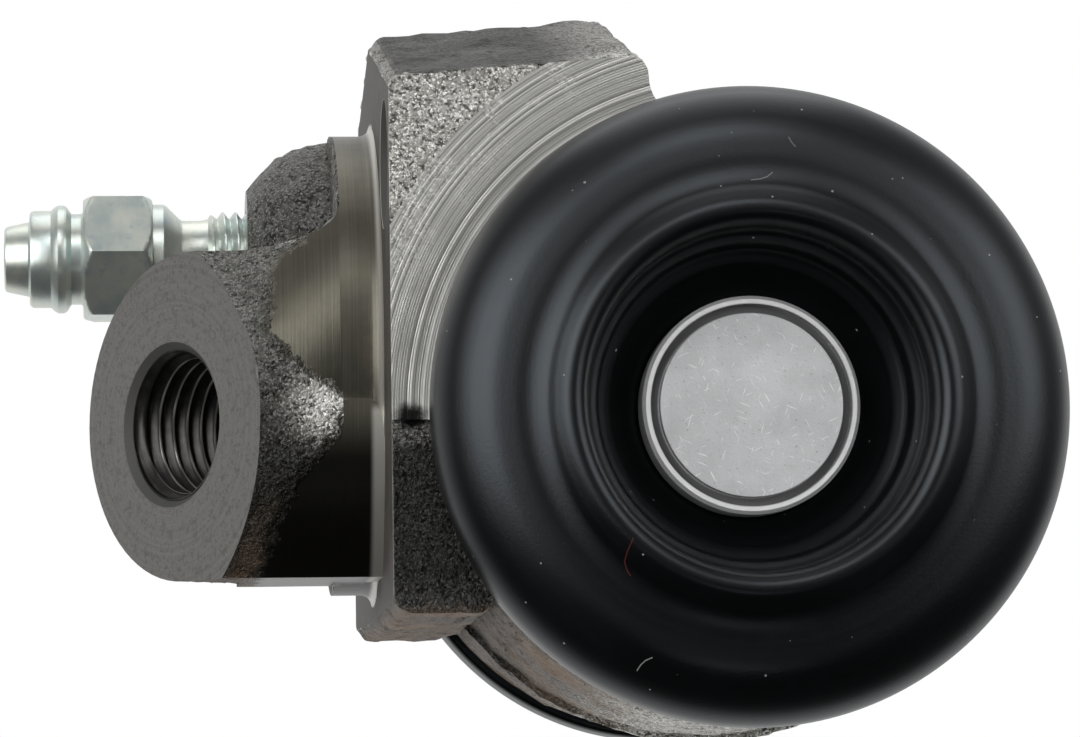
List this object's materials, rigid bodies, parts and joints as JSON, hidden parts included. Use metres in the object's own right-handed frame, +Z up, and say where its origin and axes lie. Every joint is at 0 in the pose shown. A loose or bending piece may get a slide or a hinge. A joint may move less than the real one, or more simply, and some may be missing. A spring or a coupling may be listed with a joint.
{
  "type": "wheel cylinder",
  "caption": "Drum brake wheel cylinder: cast iron body with a piloted mounting flange, angled inlet port, bleeder screw, and pistons under rubber boots at both ends of the bore.",
  "frame": {"origin": "centre of the turned pilot, on the plane of the mounting face", "axes": "+Y along the bore towards the end away from the camera, -X out of the mounting face, +Z up, towards the bleeder as installed"},
  "size_m": [0.0631, 0.0608, 0.0462],
  "materials": {
    "cast_iron": "rough cast, with turned and faced surfaces",
    "zinc_plate": "turned steel, bright zinc plate",
    "piston_metal": "satin, lightly scratched",
    "cup_rubber": "matte",
    "spring_steel": "drawn wire and pressed sheet",
    "boot_rubber": "satin moulded rubber with dust"
  },
  "bodies": {
    "cylinder": {"body": "cast_iron", "front_boot": "boot_rubber", "rear_boot": "boot_rubber", "return_spring": "spring_steel"},
    "front_plunger": {"front_piston": "piston_metal", "front_cup": "cup_rubber", "front_cup_expander": "spring_steel"},
    "rear_plunger": {"rear_piston": "piston_metal", "rear_cup": "cup_rubber", "rear_cup_expander": "spring_steel"},
    "bleeder": {"bleeder_screw": "zinc_plate"}
  },
  "joints": [
    {"name": "front_piston_slide", "type": "slide", "parent": "cylinder", "child": "front_plunger", "axis": [0, -1, 0], "range_m": [-0.0015, 0.006], "deforming": ["front_boot", "return_spring"]},
    {"name": "rear_piston_slide", "type": "slide", "parent": "cylinder", "child": "rear_plunger", "axis": [0, 1, 0], "range_m": [-0.0015, 0.006], "deforming": ["rear_boot", "return_spring"]},
    {"name": "bleeder_turn", "type": "hinge", "parent": "cylinder", "child": "bleeder", "pos_m": [0, 0.0046, 0.0074], "axis": [-1, 0, 0], "range_deg": [0, 360]}
  ]
}
